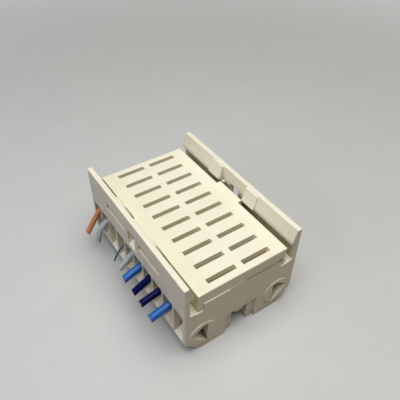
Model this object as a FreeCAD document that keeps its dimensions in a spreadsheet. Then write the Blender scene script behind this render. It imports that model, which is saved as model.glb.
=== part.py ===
"""Ten-pole terminal block: moulded housing, slotted snap-on cover, current bars, clamp springs, wires.

The frame has +Z up and its origin on the base, in the middle of the housing. X runs across the poles,
from the wired side at -X to the free side at +X. Y runs along the row of poles. Sizes are millimetres.
"""
import math
import os

import FreeCAD
import Part
import Sketcher

# Driving sizes of the moulded parts and the metal inside: alias, value, meaning
SIZES = [
    ("pole_pitch", 8.0, "distance from one pole to the next"),
    ("pole_count", 10, "number of poles"),
    ("end_margin", 0.5, "length added beyond the outermost poles, at each end"),
    ("block_width", 55.0, "width over both side walls"),
    ("base_width", 40.2, "width of the flat base between its chamfers"),
    ("chamfer_height", 7.7, "height of the sloping lower corner"),
    ("cover_height", 35.0, "top of the cover above the base"),
    ("flange_rise", 7.8, "flange top above the cover top"),
    ("flange_thickness", 2.3, "flange thickness at its top"),
    ("wall_thickness", 2.3, "side wall thickness"),
    ("edge_radius", 0.4, "rounding of the moulded outer edges"),
    ("lip_reach", 4.0, "lip nose measured in from the outer wall face"),
    ("lip_rise", 0.3, "lower edge of the lip nose above the cover top"),
    ("lip_face", 1.6, "height of the upright face of the lip nose"),
    ("lip_undercut", 0.4, "rise of the lip's underside towards the wall"),
    ("guide_reach", 5.1, "guide pad nose measured in from the outer wall face"),
    ("guide_thickness", 3.0, "guide pad thickness at the flange top"),
    ("guide_rise", 1.2, "guide pad nose above the cover top"),
    ("guide_undercut", 1.4, "height of the slope under the guide pad nose"),
    ("guide_length", 7.9, "guide pad length along the flange"),
    ("tab_length", 16.0, "length of the cover's side tab"),
    ("tab_reach", 2.0, "how far the side tab stands out from the cover"),
    ("tab_depth", 5.0, "height of the side tab"),
    ("tab_clearance", 0.6, "room at each end of the side tab"),
    ("rest_length", 2.0, "length of the small rest at each end of the tab's recess"),
    ("rest_depth", 1.2, "how far that rest stands in from the wall"),
    ("band_drop", 10.2, "underside of the side wall, over the wire cells, below the cover top"),
    ("channel_web", 0.5, "thickness under the channel beside the cover"),
    ("channel_rise", 0.8, "rise of that channel's floor towards the side wall"),
    ("channel_radius", 6.0, "rounding of that channel's floor in its middle"),
    ("ledge_height", 0.6, "upright edge under each wire cell"),
    ("partition_thickness", 1.0, "wall between two poles"),
    ("end_wall", 1.65, "thickness of the end walls"),
    ("chamber_wall", 1.45, "wall between a chamber and the channel beside the cover"),
    ("floor_web", 1.6, "thickness between the channel underneath and the chamber floor"),
    ("floor_inset", 0.5, "edge of the level chamber floor, in from the chamber wall"),
    ("post_width", 8.0, "width of the post that carries each bar"),
    ("bar_drop", 13.4, "underside of the current bars below the cover top"),
    ("bar_thickness", 1.2, "thickness of the current bars"),
    ("bar_width", 2.8, "width of the current bars"),
    ("bar_overhang", 0.8, "end of the bars beyond the springs' upright legs"),
    ("spring_thickness", 0.5, "thickness of the spring strip"),
    ("spring_side_gap", 0.35, "room between the outermost springs and the end walls"),
    ("spring_room", 1.2, "room between the springs and the cover's end skirts"),
    ("spring_gap", 0.85, "room between the springs' upright legs and the chamber wall"),
    ("spring_foot", 3.4, "outer end of the strip on the bar, in from the upright leg"),
    ("spring_bend", 6.0, "start of the spring's loop, from the middle"),
    ("spring_corner_radius", 1.2, "radius of the spring's upper corner"),
    ("spring_drop", 4.0, "upright leg's end below the bar"),
    ("spring_window_side", 0.8, "width of the strip at each side of the window in the upright leg"),
    ("spring_window_drop", 2.2, "window's lower edge below the bar"),
    ("spring_window_clearance", 0.3, "room over the bar in the window"),
    ("cover_room", 3.8, "room between the cover and each side wall"),
    ("cover_plate", 3.0, "thickness of the cover plate"),
    ("skirt_thickness", 2.3, "thickness of the cover's side skirts"),
    ("skirt_depth", 8.9, "side skirts and corner legs below the cover top"),
    ("end_skirt_thickness", 2.0, "thickness of the cover's end skirts"),
    ("end_skirt_depth", 5.7, "end skirts below the cover top"),
    ("cover_setback", 0.3, "cover's ends, in from the housing's end faces"),
    ("cover_clearance", 0.15, "room between the cover's skirts and the housing"),
    ("slot_length", 13.35, "length of a blade slot"),
    ("slot_width", 2.2, "width of a blade slot"),
    ("slot_gap", 3.2, "land between the two columns of slots"),
    ("window_length", 6.0, "length of the window in each side wall"),
    ("window_drop", 7.6, "window sill at the outer wall face, below the cover top"),
    ("window_sill_rise", 1.5, "rise of the sill towards the inside"),
    ("window_rise", 1.4, "upper edge of the window above the cover top"),
    ("groove_start", 6.0, "start of the long grooves in the side walls, from the middle"),
    ("groove_length", 16.8, "length of those grooves"),
    ("groove_drop", 2.6, "floor of those grooves below the cover top"),
    ("groove_height", 3.1, "height of those grooves"),
    ("groove_depth", 1.4, "depth of those grooves at the floor"),
    ("eyelet_length", 1.3, "length of the small hole at the end of each groove"),
    ("eyelet_height", 0.9, "height of that hole"),
    ("corner_inset", 8.6, "centre of the round corner pad, in from the outer wall face"),
    ("corner_height", 9.9, "centre of the corner pad above the base"),
    ("corner_radius", 6.7, "radius of the corner pad"),
    ("corner_rise", 0.25, "how far the corner pad stands out from the end face"),
    ("pocket_inset", 2.3, "upright side of the corner pocket, in from the pad's centre"),
    ("leg_room", 1.7, "room between the springs' upright legs and the corner pockets"),
    ("pocket_shoulder", 0.4, "outer end of the pocket's top edge, out from the pad's centre"),
    ("pocket_side", 5.3, "outer side of the corner pocket, out from the pad's centre"),
    ("pocket_side_rise", 1.0, "top of that outer side above the pad's centre"),
    ("pocket_floor", 4.4, "distance of the pocket's floor from the outer chamfer face"),
    ("pocket_depth", 5.0, "depth of the corner pocket"),
    ("pocket_wall", 1.2, "wall around the corner pocket"),
    ("foot_channel_width", 8.0, "width of the channel along the underside"),
    ("foot_channel_height", 12.4, "height of that channel"),
    ("foot_recess_width", 15.7, "width of the shallow recess around its ends"),
    ("foot_recess_depth", 1.2, "depth of that recess"),
    ("tongue_radius", 2.85, "radius of the round tongue at each end of the channel"),
    ("tongue_cover", 0.15, "chamber floor over that tongue"),
    ("tongue_thickness", 1.0, "thickness of that tongue"),
    ("core_inside", 2.4, "bare conductor beyond the spring, under the bar"),
    ("strip_length", 2.1, "bare conductor outside the spring"),
    ("core_gap", 0.1, "conductor's distance from the bar"),
    ("sleeve_gap", 0.05, "room between conductor and sleeve"),
    ("thick_wire", 3.5, "sleeve diameter of the thick wires"),
    ("thick_core", 2.0, "conductor diameter of the thick wires"),
    ("middle_wire", 3.0, "sleeve diameter of the middle wires"),
    ("middle_core", 1.6, "conductor diameter of the middle wires"),
    ("slim_wire", 2.6, "sleeve diameter of the slim wires"),
    ("slim_core", 1.2, "conductor diameter of the slim wires"),
    ("thin_wire", 1.1, "sleeve diameter of the thin wire"),
    ("thin_core", 0.6, "conductor diameter of the thin wire"),
    ("wire_01_corner", 10.0, "wire at pole 1: corner of its bend, out from the spring"),
    ("wire_01_radius", 6.0, "wire at pole 1: radius of its bend"),
    ("wire_01_run", 14.5, "wire at pole 1: length after the corner of its bend"),
    ("wire_02_corner", 13.0, "wire at pole 2: corner of its bend, out from the spring"),
    ("wire_02_radius", 12.0, "wire at pole 2: radius of its bend"),
    ("wire_02_run", 12.0, "wire at pole 2: length after the corner of its bend"),
    ("wire_04_corner", 13.4, "wire at pole 4: corner of its bend, out from the spring"),
    ("wire_04_radius", 12.2, "wire at pole 4: radius of its bend"),
    ("wire_04_run", 7.1, "wire at pole 4: length after the corner of its bend"),
    ("wire_05_corner", 7.9, "wire at pole 5: corner of its bend, out from the spring"),
    ("wire_05_radius", 6.0, "wire at pole 5: radius of its bend"),
    ("wire_05_run", 11.6, "wire at pole 5: length after the corner of its bend"),
    ("wire_06_corner", 9.4, "wire at pole 6: corner of its bend, out from the spring"),
    ("wire_06_radius", 12.0, "wire at pole 6: radius of its bend"),
    ("wire_06_run", 10.0, "wire at pole 6: length after the corner of its bend"),
    ("wire_07_corner", 7.8, "wire at pole 7: corner of its bend, out from the spring"),
    ("wire_07_radius", 10.0, "wire at pole 7: radius of its bend"),
    ("wire_07_run", 11.7, "wire at pole 7: length after the corner of its bend"),
    ("wire_08_corner", 6.6, "wire at pole 8: corner of its bend, out from the spring"),
    ("wire_08_radius", 12.0, "wire at pole 8: radius of its bend"),
    ("wire_08_run", 12.7, "wire at pole 8: length after the corner of its bend"),
    ("wire_09_corner", 8.9, "wire at pole 9: corner of its bend, out from the spring"),
    ("wire_09_radius", 12.0, "wire at pole 9: radius of its bend"),
    ("wire_09_run", 10.6, "wire at pole 9: length after the corner of its bend"),
]

# Cut wires in the order of the poles, from the far end, with None at an empty pole: gauge, slope down after
# the bend and swing sideways, in degrees
WIRES = [
    ("slim", 55.8, 0.0),
    ("slim", 74.4, 0.0),
    None,
    ("thin", 54.8, 14.0),
    ("slim", 40.8, 0.0),
    ("thick", 14.0, 5.4),
    ("middle", 27.4, 0.0),
    ("middle", 13.8, 0.0),
    ("thick", 15.9, 0.0),
    None,
]

# Overlap of features that are joined, and overshoot of cuts past a face
OVERLAP = "0.5"
OVERSHOOT = "1"

# Sizes worked out from the driving sizes
HALF_WIDTH = "(Sizes.block_width / 2)"
HALF_BASE = "(Sizes.base_width / 2)"
BLOCK_LENGTH = "(Sizes.pole_count * Sizes.pole_pitch + 2 * Sizes.end_margin)"
HALF_LENGTH = f"({BLOCK_LENGTH} / 2)"
FLANGE_TOP = "(Sizes.cover_height + Sizes.flange_rise)"
WALL_INSIDE = f"({HALF_WIDTH} - Sizes.wall_thickness)"
LIP_NOSE = "(Sizes.cover_height + Sizes.lip_rise)"
GUIDE_NOSE = "(Sizes.cover_height + Sizes.guide_rise)"
TAB_RECESS = "(Sizes.tab_length / 2 + Sizes.tab_clearance)"
COVER_HALF = f"({WALL_INSIDE} - Sizes.cover_room)"
COVER_INSIDE = f"({COVER_HALF} - Sizes.skirt_thickness)"
COVER_END = f"({HALF_LENGTH} - Sizes.cover_setback)"
COVER_UNDERSIDE = "(Sizes.cover_height - Sizes.cover_plate)"
SKIRT_BOTTOM = "(Sizes.cover_height - Sizes.skirt_depth)"
END_SEAT = "(Sizes.cover_height - Sizes.end_skirt_depth)"
CORE_HALF = f"({COVER_INSIDE} - Sizes.cover_clearance)"
CHAMBER_HALF = f"({CORE_HALF} - Sizes.chamber_wall)"
CHAMBER_FLOOR = "(Sizes.foot_channel_height + Sizes.floor_web)"
BAND_BOTTOM = "(Sizes.cover_height - Sizes.band_drop)"
CHANNEL_FLOOR = f"({BAND_BOTTOM} + Sizes.channel_web)"
CELL_LEDGE = "(Sizes.chamfer_height + Sizes.ledge_height)"
CELL_LENGTH = "(Sizes.pole_pitch - Sizes.partition_thickness)"
ROW_LENGTH = "((Sizes.pole_count - 1) * Sizes.pole_pitch)"
BAR_UNDERSIDE = "(Sizes.cover_height - Sizes.bar_drop)"
BAR_TOP = f"({BAR_UNDERSIDE} + Sizes.bar_thickness)"
STRIP_LEVEL = f"({BAR_TOP} + Sizes.spring_thickness / 2)"
SPRING_HALF = "(Sizes.pole_pitch / 2 + Sizes.end_margin - Sizes.end_wall - Sizes.spring_side_gap)"
SPRING_TOP = f"({END_SEAT} - Sizes.spring_room - Sizes.spring_thickness / 2)"
SPRING_END = f"({BAR_UNDERSIDE} - Sizes.spring_drop)"
SPRING_REACH = f"({CHAMBER_HALF} - Sizes.spring_gap - Sizes.spring_thickness / 2)"
SPRING_FOOT = f"({SPRING_REACH} - Sizes.spring_foot)"
BAR_HALF = f"({SPRING_REACH} + Sizes.bar_overhang)"

doc = FreeCAD.newDocument("TerminalBlock")
sheet = doc.addObject("Spreadsheet::Sheet", "Sizes")


def wire_alias(pole, size):
    """Return the sheet alias of one size of the wire at a pole."""
    return f"wire_{pole:02d}_{size}"


def wired_poles():
    """Return the pole, the gauge, the slope and the swing of each cut wire."""
    return [(pole, *wire) for pole, wire in enumerate(WIRES, start=1) if wire]


def fill_sheet():
    """Write every driving size into the sheet, with its alias and its meaning."""
    rows = list(SIZES)
    for pole, _, slope, swing in wired_poles():
        rows.append((wire_alias(pole, "slope"), slope, f"wire at pole {pole}: slope down, degrees"))
        rows.append((wire_alias(pole, "swing"), swing, f"wire at pole {pole}: swing sideways, degrees"))
    for row, (alias, number, meaning) in enumerate(rows, start=1):
        sheet.set(f"A{row}", alias)
        sheet.set(f"B{row}", str(number))
        sheet.setAlias(f"B{row}", alias)
        sheet.set(f"C{row}", meaning)
    doc.recompute()


def value(text):
    """Return the number that an expression of sheet sizes stands for."""
    return float(sheet.evalExpression(text))


def point(pair):
    """Return the sketch point of a pair of expressions."""
    return FreeCAD.Vector(value(pair[0]), value(pair[1]), 0)


def new_body(label):
    """Add an empty body that becomes one sub-part."""
    body = doc.addObject("PartDesign::Body", label)
    body.Label = label
    return body


def origin(body, role):
    """Return the plane or axis of a body's own origin that has a role."""
    return next(item for item in body.Origin.OriginFeatures if item.Role == role)


def new_sketch(body, name, plane, offset="0"):
    """Add a sketch on an origin plane, moved along X, Y or Z by an expression."""
    sketch = body.newObject("Sketcher::SketchObject", name)
    sketch.AttachmentSupport = [(origin(body, plane), "")]
    sketch.MapMode = "FlatFace"
    # A sketch on the XZ plane faces -Y, so its own offset runs against Y.
    sketch.setExpression("AttachmentOffset.Base.z", f"-({offset})" if plane == "XZ_Plane" else offset)
    return sketch


def pin(sketch, geometry, end, pair):
    """Tie one end of a sketch line to a pair of expressions, measured from the sketch origin."""
    for kind, text in zip(("DistanceX", "DistanceY"), pair):
        size = value(text)
        if size < 0:
            tie = sketch.addConstraint(Sketcher.Constraint(kind, geometry, end, -1, 1, -size))
            sketch.setExpression(f"Constraints[{tie}]", f"-({text})")
        else:
            tie = sketch.addConstraint(Sketcher.Constraint(kind, -1, 1, geometry, end, size))
            sketch.setExpression(f"Constraints[{tie}]", text)


def draw_outline(sketch, corners):
    """Draw a closed outline of straight edges through corners, each tied to its expressions."""
    first = sketch.GeometryCount
    count = len(corners)
    points = [point(corner) for corner in corners]
    for index in range(count):
        sketch.addGeometry(Part.LineSegment(points[index], points[(index + 1) % count]))
    for index in range(count):
        following = first + (index + 1) % count
        sketch.addConstraint(Sketcher.Constraint("Coincident", first + index, 2, following, 1))
    for index, corner in enumerate(corners):
        pin(sketch, first + index, 1, corner)


def draw_circle(sketch, centre, diameter):
    """Draw a circle whose centre and diameter are tied to expressions."""
    circle = Part.Circle(point(centre), FreeCAD.Vector(0, 0, 1), value(diameter) / 2)
    index = sketch.addGeometry(circle)
    pin(sketch, index, 3, centre)
    tie = sketch.addConstraint(Sketcher.Constraint("Diameter", index, value(diameter)))
    sketch.setExpression(f"Constraints[{tie}]", diameter)


def draw_path(sketch, runs):
    """Draw straight runs, each tied at both ends, with a tangent arc from every run to the next."""
    lines = []
    for start, end in runs:
        line = sketch.addGeometry(Part.LineSegment(point(start), point(end)))
        pin(sketch, line, 1, start)
        pin(sketch, line, 2, end)
        lines.append(line)
    for (before, after), (line, following) in zip(zip(runs, runs[1:]), zip(lines, lines[1:])):
        start, end = point(before[1]), point(after[0])
        heading = (start - point(before[0])).normalize()
        chord = end - start
        side = FreeCAD.Vector(-heading.y, heading.x, 0)
        radius = chord.dot(chord) / (2 * chord.dot(side))
        centre = start + side * radius
        ends = (start, end) if radius > 0 else (end, start)
        angles = [math.atan2(place.y - centre.y, place.x - centre.x) for place in ends]
        circle = Part.Circle(centre, FreeCAD.Vector(0, 0, 1), abs(radius))
        arc = sketch.addGeometry(Part.ArcOfCircle(circle, *angles))
        near, far = (1, 2) if radius > 0 else (2, 1)
        sketch.addConstraint(Sketcher.Constraint("Tangent", line, 2, arc, near))
        sketch.addConstraint(Sketcher.Constraint("Coincident", arc, far, following, 1))


def extrude_sketch(body, kind, name, sketch, length):
    """Add or cut a sketch on both sides of its plane, so that the length is shared evenly."""
    feature = body.newObject("PartDesign::" + kind, name)
    feature.Profile = sketch
    feature.SideType = "Symmetric"
    feature.setExpression("Length", length)
    doc.recompute()
    return feature


def extrude(body, kind, name, plane, middle, length, outlines):
    """Add or cut straight-edged outlines on both sides of a plane's offset."""
    sketch = new_sketch(body, name + "Outline", plane, middle)
    for corners in outlines:
        draw_outline(sketch, corners)
    return extrude_sketch(body, kind, name, sketch, length)


def extrude_circles(body, kind, name, middle, length, centres, radius):
    """Add or cut circles of one radius along the row, on both sides of a middle plane."""
    sketch = new_sketch(body, name + "Outline", "XZ_Plane", middle)
    for centre in centres:
        draw_circle(sketch, centre, f"2 * {radius}")
    return extrude_sketch(body, kind, name, sketch, length)


def between(low, high):
    """Return the middle and the length of a span, as expressions."""
    return f"(({low}) + ({high})) / 2", f"({high}) - ({low})"


def box(low_a, high_a, low_b, high_b):
    """Return the four corners of an upright rectangle."""
    return [(low_a, low_b), (high_a, low_b), (high_a, high_b), (low_a, high_b)]


def both_sides(corners):
    """Return an outline and its mirror image across the middle."""
    return [corners, [(f"-({across})", up) for across, up in reversed(corners)]]


def closed_by_mirror(corners):
    """Return the outline of a right half together with its mirror image, as one closed outline."""
    return corners + [(f"-({across})", up) for across, up in reversed(corners)]


def mirror(body, name, plane, features):
    """Repeat features on the other side of an origin plane."""
    copy = body.newObject("PartDesign::Mirrored", name)
    copy.Originals = features
    copy.MirrorPlane = (origin(body, plane), [""])
    body.Tip = copy
    doc.recompute()
    return copy


def repeat_at_poles(body, name, feature):
    """Repeat a feature of the first pole at every other pole along the row."""
    row = body.newObject("PartDesign::LinearPattern", name)
    row.Originals = [feature]
    row.Direction = (origin(body, "Y_Axis"), [""])
    row.setExpression("Length", ROW_LENGTH)
    row.setExpression("Occurrences", "Sizes.pole_count")
    body.Tip = row
    doc.recompute()
    return row


def round_edges(body, name, feature, wanted, radius="Sizes.edge_radius"):
    """Round the edges of a feature whose two ends satisfy a test."""
    names = []
    for index, edge in enumerate(feature.Shape.Edges, start=1):
        ends = [vertex.Point for vertex in edge.Vertexes]
        if wanted(ends[0], ends[-1]):
            names.append(f"Edge{index}")
    rounding = body.newObject("PartDesign::Fillet", name)
    rounding.Base = (feature, names)
    rounding.setExpression("Radius", radius)
    doc.recompute()
    return rounding


def on_outer_edges(half_width, half_length, top):
    """Return a test for the top edges and the upright corners of a block."""
    width, length, height = value(half_width), value(half_length), value(top)

    def wanted(start, end):
        tests = [
            [math.isclose(abs(place.x), width, abs_tol=1e-4) for place in (start, end)],
            [math.isclose(abs(place.y), length, abs_tol=1e-4) for place in (start, end)],
            [math.isclose(place.z, height, abs_tol=1e-4) for place in (start, end)],
        ]
        same_side = start.x * end.x > 0 or start.y * end.y > 0
        return same_side and sum(all(test) for test in tests) >= 2

    return wanted


def along_row(half_width, level):
    """Return a test for the edges along the row at one distance from the middle and one level."""
    width, height = value(half_width), value(level)

    def wanted(*ends):
        return all(math.isclose(abs(place.x), width, abs_tol=1e-4)
                   and math.isclose(place.z, height, abs_tol=1e-4) for place in ends)

    return wanted


def pole_y(pole):
    """Return the place of a pole along the row, counted from the far end."""
    return f"((Sizes.pole_count + 1) / 2 - {pole}) * Sizes.pole_pitch"


def build_housing():
    """Build the moulded housing: shell, chambers, flanges, end walls and underside."""
    body = new_body("housing")
    flange_inside = f"{HALF_WIDTH} - Sizes.flange_thickness"
    lip_nose = f"{HALF_WIDTH} - Sizes.lip_reach"
    channel_middle = f"({WALL_INSIDE} + {CORE_HALF}) / 2"
    shell = extrude(body, "Pad", "Shell", "XZ_Plane", "0", BLOCK_LENGTH, [closed_by_mirror([
        (HALF_BASE, "0"),
        (HALF_WIDTH, "Sizes.chamfer_height"),
        (HALF_WIDTH, FLANGE_TOP),
        (flange_inside, FLANGE_TOP),
        (lip_nose, f"{LIP_NOSE} + Sizes.lip_face"),
        (lip_nose, LIP_NOSE),
        (WALL_INSIDE, f"{LIP_NOSE} + Sizes.lip_undercut"),
        (WALL_INSIDE, f"{CHANNEL_FLOOR} + Sizes.channel_rise"),
        (channel_middle, CHANNEL_FLOOR),
        (CORE_HALF, CHANNEL_FLOOR),
        (CORE_HALF, COVER_UNDERSIDE),
    ])])
    rounded = round_edges(body, "ShellEdges", shell, on_outer_edges(HALF_WIDTH, HALF_LENGTH, FLANGE_TOP))
    floor_bend = along_row(channel_middle, CHANNEL_FLOOR)
    round_edges(body, "ChannelFloor", rounded, floor_bend, "Sizes.channel_radius")

    cut_chambers(body)
    add_end_walls(body)
    shape_flanges(body)
    cut_side_walls(body)
    shape_ends(body)
    return body


def cut_chambers(body):
    """Cut the chamber of every pole, open to the top and through a wire cell at each side."""
    chamber = extrude(body, "Pocket", "Chamber", "XZ_Plane", f"-{ROW_LENGTH} / 2", CELL_LENGTH, [
        closed_by_mirror([
            ("Sizes.post_width / 2", BAR_UNDERSIDE),
            ("Sizes.post_width / 2", CHAMBER_FLOOR),
            (f"{CHAMBER_HALF} - Sizes.floor_inset", CHAMBER_FLOOR),
            (HALF_WIDTH, CELL_LEDGE),
            (f"{HALF_WIDTH} + {OVERSHOOT}", CELL_LEDGE),
            (f"{HALF_WIDTH} + {OVERSHOOT}", BAND_BOTTOM),
            (CHAMBER_HALF, BAND_BOTTOM),
            (CHAMBER_HALF, f"{COVER_UNDERSIDE} + {OVERSHOOT}"),
        ])])
    repeat_at_poles(body, "Chambers", chamber)


def add_end_walls(body):
    """Thicken the end walls from inside and let the cover's end skirts sit on them."""
    outside = f"({HALF_LENGTH} - {OVERLAP})"
    inside = f"({HALF_LENGTH} - Sizes.end_wall)"
    wall = extrude(body, "Pad", "EndWall", "XZ_Plane", *between(f"-{outside}", f"-{inside}"), [
        closed_by_mirror([
            (HALF_BASE, "Sizes.chamfer_height"),
            (HALF_WIDTH, "Sizes.chamfer_height"),
            (HALF_WIDTH, BAND_BOTTOM),
            (CORE_HALF, BAND_BOTTOM),
            (CORE_HALF, END_SEAT),
        ])])
    seat_depth = "(Sizes.cover_setback + Sizes.end_skirt_thickness + Sizes.cover_clearance)"
    seat = extrude(
        body, "Pocket", "EndSeat", "XZ_Plane",
        *between(f"-({HALF_LENGTH} + {OVERSHOOT})", f"-({HALF_LENGTH} - {seat_depth})"),
        [box(f"-{COVER_INSIDE}", COVER_INSIDE, END_SEAT, f"{COVER_UNDERSIDE} + {OVERSHOOT}")])
    mirror(body, "EndWalls", "XZ_Plane", [wall, seat])


def shape_flanges(body):
    """Open the lip for the cover's tab, with a guide pad and a small rest at each end of the gap."""
    nose = f"{HALF_WIDTH} - Sizes.guide_reach"
    extrude(
        body, "Pocket", "TabRecess", "XZ_Plane", "0", f"2 * {TAB_RECESS}",
        both_sides(box(nose, WALL_INSIDE, f"{LIP_NOSE} - {OVERLAP}", f"{FLANGE_TOP} + {OVERSHOOT}")))
    guide_end = f"({TAB_RECESS} + Sizes.guide_length)"
    guide = extrude(
        body, "Pad", "Guide", "XZ_Plane", *between(f"-{guide_end}", f"-{TAB_RECESS}"),
        both_sides([
            (f"{WALL_INSIDE} + {OVERLAP}", f"{GUIDE_NOSE} - Sizes.guide_undercut"),
            (f"{WALL_INSIDE} + {OVERLAP}", f"{FLANGE_TOP} - Sizes.edge_radius"),
            (f"{HALF_WIDTH} - Sizes.guide_thickness", f"{FLANGE_TOP} - Sizes.edge_radius"),
            (nose, GUIDE_NOSE),
            (WALL_INSIDE, f"{GUIDE_NOSE} - Sizes.guide_undercut"),
        ]))
    rest = extrude(
        body, "Pad", "Rest", "XZ_Plane",
        *between(f"-{TAB_RECESS}", f"-({TAB_RECESS} - Sizes.rest_length)"),
        both_sides(box(
            f"{WALL_INSIDE} - Sizes.rest_depth", f"{WALL_INSIDE} + {OVERLAP}",
            "Sizes.cover_height - Sizes.tab_depth", "Sizes.cover_height")))
    mirror(body, "Guides", "XZ_Plane", [guide, rest])


def cut_side_walls(body):
    """Cut the window with its sloping sill, the long grooves and their end holes in both side walls."""
    outside = f"{HALF_WIDTH} + {OVERSHOOT}"
    inside = f"{WALL_INSIDE} - {OVERLAP}"
    sill = "(Sizes.cover_height - Sizes.window_drop)"
    raised_sill = f"{sill} + Sizes.window_sill_rise"
    window_top = "Sizes.cover_height + Sizes.window_rise"
    extrude(body, "Pocket", "Window", "XZ_Plane", "0", "Sizes.window_length", both_sides([
        (inside, raised_sill),
        (WALL_INSIDE, raised_sill),
        (HALF_WIDTH, sill),
        (outside, sill),
        (outside, window_top),
        (inside, window_top),
    ]))
    groove_end = "(Sizes.groove_start + Sizes.groove_length)"
    groove_floor = "(Sizes.cover_height - Sizes.groove_drop)"
    groove_top = f"{groove_floor} + Sizes.groove_height"
    groove = extrude(
        body, "Pocket", "Groove", "XZ_Plane", *between("Sizes.groove_start", groove_end),
        both_sides([
            (f"{HALF_WIDTH} - Sizes.groove_depth", groove_floor),
            (outside, groove_floor),
            (outside, groove_top),
            (HALF_WIDTH, groove_top),
        ]))
    mirror(body, "Grooves", "XZ_Plane", [groove])
    eyelet = both_sides(box(inside, outside, f"{groove_top} - Sizes.eyelet_height", groove_top))
    for name, start in (("FarEyelet", groove_end), ("NearEyelet", "-Sizes.groove_start")):
        extrude(body, "Pocket", name, "XZ_Plane", *between(start, f"{start} + Sizes.eyelet_length"), eyelet)


def shape_ends(body):
    """Shape both end faces: round corner pads with a deep pocket each, and the channel underneath."""
    centre = f"({HALF_WIDTH} - Sizes.corner_inset)"
    level = "Sizes.corner_height"
    pocket_top = f"({SPRING_END} - Sizes.leg_room - Sizes.pocket_wall)"
    slope = f"(Sizes.chamfer_height / ({HALF_WIDTH} - {HALF_BASE}))"
    # The pocket's floor runs parallel to the chamfer, at a set distance from it.
    drop = f"(Sizes.pocket_floor * sqrt(1 + {slope}^2))"

    def floor_level(across):
        return f"(({across}) - {HALF_BASE}) * {slope} + {drop}"

    inner = f"({centre} - Sizes.pocket_inset)"
    outer = f"({centre} + Sizes.pocket_side)"

    def pocket_outline(wall, inner_floor, outer_floor):
        return both_sides([
            (f"{inner} - {wall}", inner_floor),
            (f"{outer} + {wall}", outer_floor),
            (f"{outer} + {wall}", f"{level} + Sizes.pocket_side_rise + {wall}"),
            (f"{centre} + Sizes.pocket_shoulder + {wall}", f"{pocket_top} + {wall}"),
            (f"{inner} - {wall}", f"{pocket_top} + {wall}"),
        ])

    pad = extrude_circles(
        body, "Pad", "CornerPad",
        *between(f"-({HALF_LENGTH} + Sizes.corner_rise)", f"-({HALF_LENGTH} - {OVERLAP})"),
        [(centre, level), (f"-{centre}", level)], "Sizes.corner_radius")
    # Inside, the pocket shows only above the floor of the end cells, so its wall starts at their ledge.
    boss_end = f"({HALF_LENGTH} - Sizes.pocket_depth - Sizes.pocket_wall)"
    boss = extrude(
        body, "Pad", "PocketBoss", "XZ_Plane", *between(f"-({HALF_LENGTH} - {OVERLAP})", f"-{boss_end}"),
        pocket_outline("Sizes.pocket_wall", CELL_LEDGE, CELL_LEDGE))
    face = f"-({HALF_LENGTH} + {OVERSHOOT})"
    pocket = extrude(
        body, "Pocket", "CornerPocket", "XZ_Plane",
        *between(face, f"-({HALF_LENGTH} - Sizes.pocket_depth)"),
        pocket_outline("0", floor_level(inner), floor_level(outer)))
    recess_back = f"({HALF_LENGTH} - Sizes.foot_recess_depth)"
    foot = extrude(
        body, "Pocket", "FootRecess", "XZ_Plane", *between(face, f"-{recess_back}"),
        [box("-Sizes.foot_recess_width / 2", "Sizes.foot_recess_width / 2", f"-{OVERSHOOT}",
             "Sizes.foot_channel_height")])
    mirror(body, "EndFaces", "XZ_Plane", [pad, boss, pocket, foot])
    extrude(
        body, "Pocket", "FootChannel", "XZ_Plane", "0", f"{BLOCK_LENGTH} + 2 * {OVERSHOOT}",
        [box("-Sizes.foot_channel_width / 2", "Sizes.foot_channel_width / 2", f"-{OVERSHOOT}",
             "Sizes.foot_channel_height")])
    tongue_level = f"{CHAMBER_FLOOR} - Sizes.tongue_cover - Sizes.tongue_radius"
    tongue = extrude_circles(
        body, "Pad", "Tongue", *between(f"-{recess_back}", f"-({recess_back} - Sizes.tongue_thickness)"),
        [("0", tongue_level)], "Sizes.tongue_radius")
    mirror(body, "Tongues", "XZ_Plane", [tongue])


def build_cover():
    """Build the slotted cover: plate, side skirts, end skirts between the corner legs, and side tabs."""
    body = new_body("slotted_cover")
    shell = extrude(body, "Pad", "Plate", "XZ_Plane", "0", f"2 * {COVER_END}", [closed_by_mirror([
        (COVER_INSIDE, COVER_UNDERSIDE),
        (COVER_INSIDE, SKIRT_BOTTOM),
        (COVER_HALF, SKIRT_BOTTOM),
        (COVER_HALF, "Sizes.cover_height"),
    ])])
    round_edges(body, "PlateEdges", shell, on_outer_edges(COVER_HALF, COVER_END, "Sizes.cover_height"))
    end_skirt = extrude(
        body, "Pad", "EndSkirt", "XZ_Plane",
        *between(f"-{COVER_END}", f"-({COVER_END} - Sizes.end_skirt_thickness)"),
        [box(f"-({COVER_INSIDE} + {OVERLAP})", f"{COVER_INSIDE} + {OVERLAP}", END_SEAT,
             f"{COVER_UNDERSIDE} + {OVERLAP}")])
    mirror(body, "EndSkirts", "XZ_Plane", [end_skirt])
    extrude(
        body, "Pad", "Tabs", "XZ_Plane", "0", "Sizes.tab_length",
        both_sides(box(f"{COVER_HALF} - {OVERLAP}", f"{COVER_HALF} + Sizes.tab_reach",
                       "Sizes.cover_height - Sizes.tab_depth", "Sizes.cover_height")))
    slot = extrude(
        body, "Pocket", "Slot", "XZ_Plane", f"-{ROW_LENGTH} / 2", "Sizes.slot_width",
        both_sides(box("Sizes.slot_gap / 2", "Sizes.slot_gap / 2 + Sizes.slot_length",
                       f"{COVER_UNDERSIDE} - {OVERLAP}", f"Sizes.cover_height + {OVERSHOOT}")))
    repeat_at_poles(body, "Slots", slot)
    return body


def place(body, across, along, turn="0"):
    """Place a body in the block: across the poles, along the row, turned about the upright axis."""
    body.setExpression("Placement.Base.x", across)
    body.setExpression("Placement.Base.y", along)
    body.setExpression("Placement.Rotation.Angle", turn)
    return body


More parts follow.
